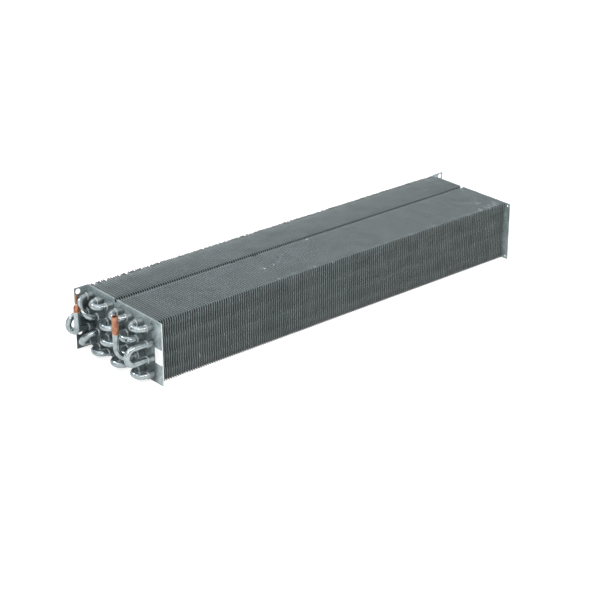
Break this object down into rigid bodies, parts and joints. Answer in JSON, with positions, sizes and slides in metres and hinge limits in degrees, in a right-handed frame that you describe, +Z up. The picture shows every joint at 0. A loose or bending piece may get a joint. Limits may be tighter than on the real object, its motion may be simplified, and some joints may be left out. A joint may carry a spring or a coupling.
{
  "type": "evaporator coil",
  "caption": "Fin-and-tube evaporator coil with hairpin tubes through two fin banks, folded end plates with bolt flanges, brazed return bends and copper suction and liquid stubs.",
  "frame": {"origin": "below the middle of the whole coil's box, level with the bottom edges of its end plates", "axes": "+X along the tubes away from the return bends, +Y from the front of the fins to the flanged back, +Z up"},
  "size_m": [0.812, 0.189, 0.1103],
  "materials": {
    "fins": "mill finish fin stock",
    "tubes": "satin drawn tube",
    "plates": "smooth galvanised sheet",
    "copper": "satin drawn copper"
  },
  "bodies": {
    "root": {"back_fin_bank": "fins", "front_fin_bank": "fins", "hairpin_1_row_1": "tubes", "hairpin_1_row_3": "tubes", "hairpin_2_row_1": "tubes", "hairpin_2_row_3": "tubes", "hairpin_3_row_1": "tubes", "hairpin_3_row_3": "tubes", "hairpin_4_row_1": "tubes", "hairpin_4_row_3": "tubes", "hairpin_5_row_1": "tubes", "hairpin_5_row_3": "tubes", "hairpin_6_row_1": "tubes", "hairpin_6_row_3": "tubes", "hairpin_7_row_1": "tubes", "hairpin_7_row_3": "tubes", "inlet_bend": "tubes", "left_end_plate": "plates", "liquid_capillary": "copper", "liquid_reducer": "copper", "liquid_stub": "tubes", "long_return_bend": "tubes", "outlet_bend": "tubes", "return_bend_2_1_to_1_1": "tubes", "return_bend_2_4_to_1_4": "tubes", "return_bend_3_2_to_2_2": "tubes", "return_bend_4_1_to_3_1": "tubes", "return_bend_4_4_to_3_4": "tubes", "return_bend_5_2_to_4_2": "tubes", "return_bend_5_3_to_4_3": "tubes", "return_bend_6_1_to_5_1": "tubes", "return_bend_6_3_to_7_4": "tubes", "return_bend_6_4_to_5_4": "tubes", "return_bend_7_1_to_6_2": "tubes", "right_end_plate": "plates", "suction_copper_end": "copper", "suction_stub": "tubes"}
  },
  "joints": []
}
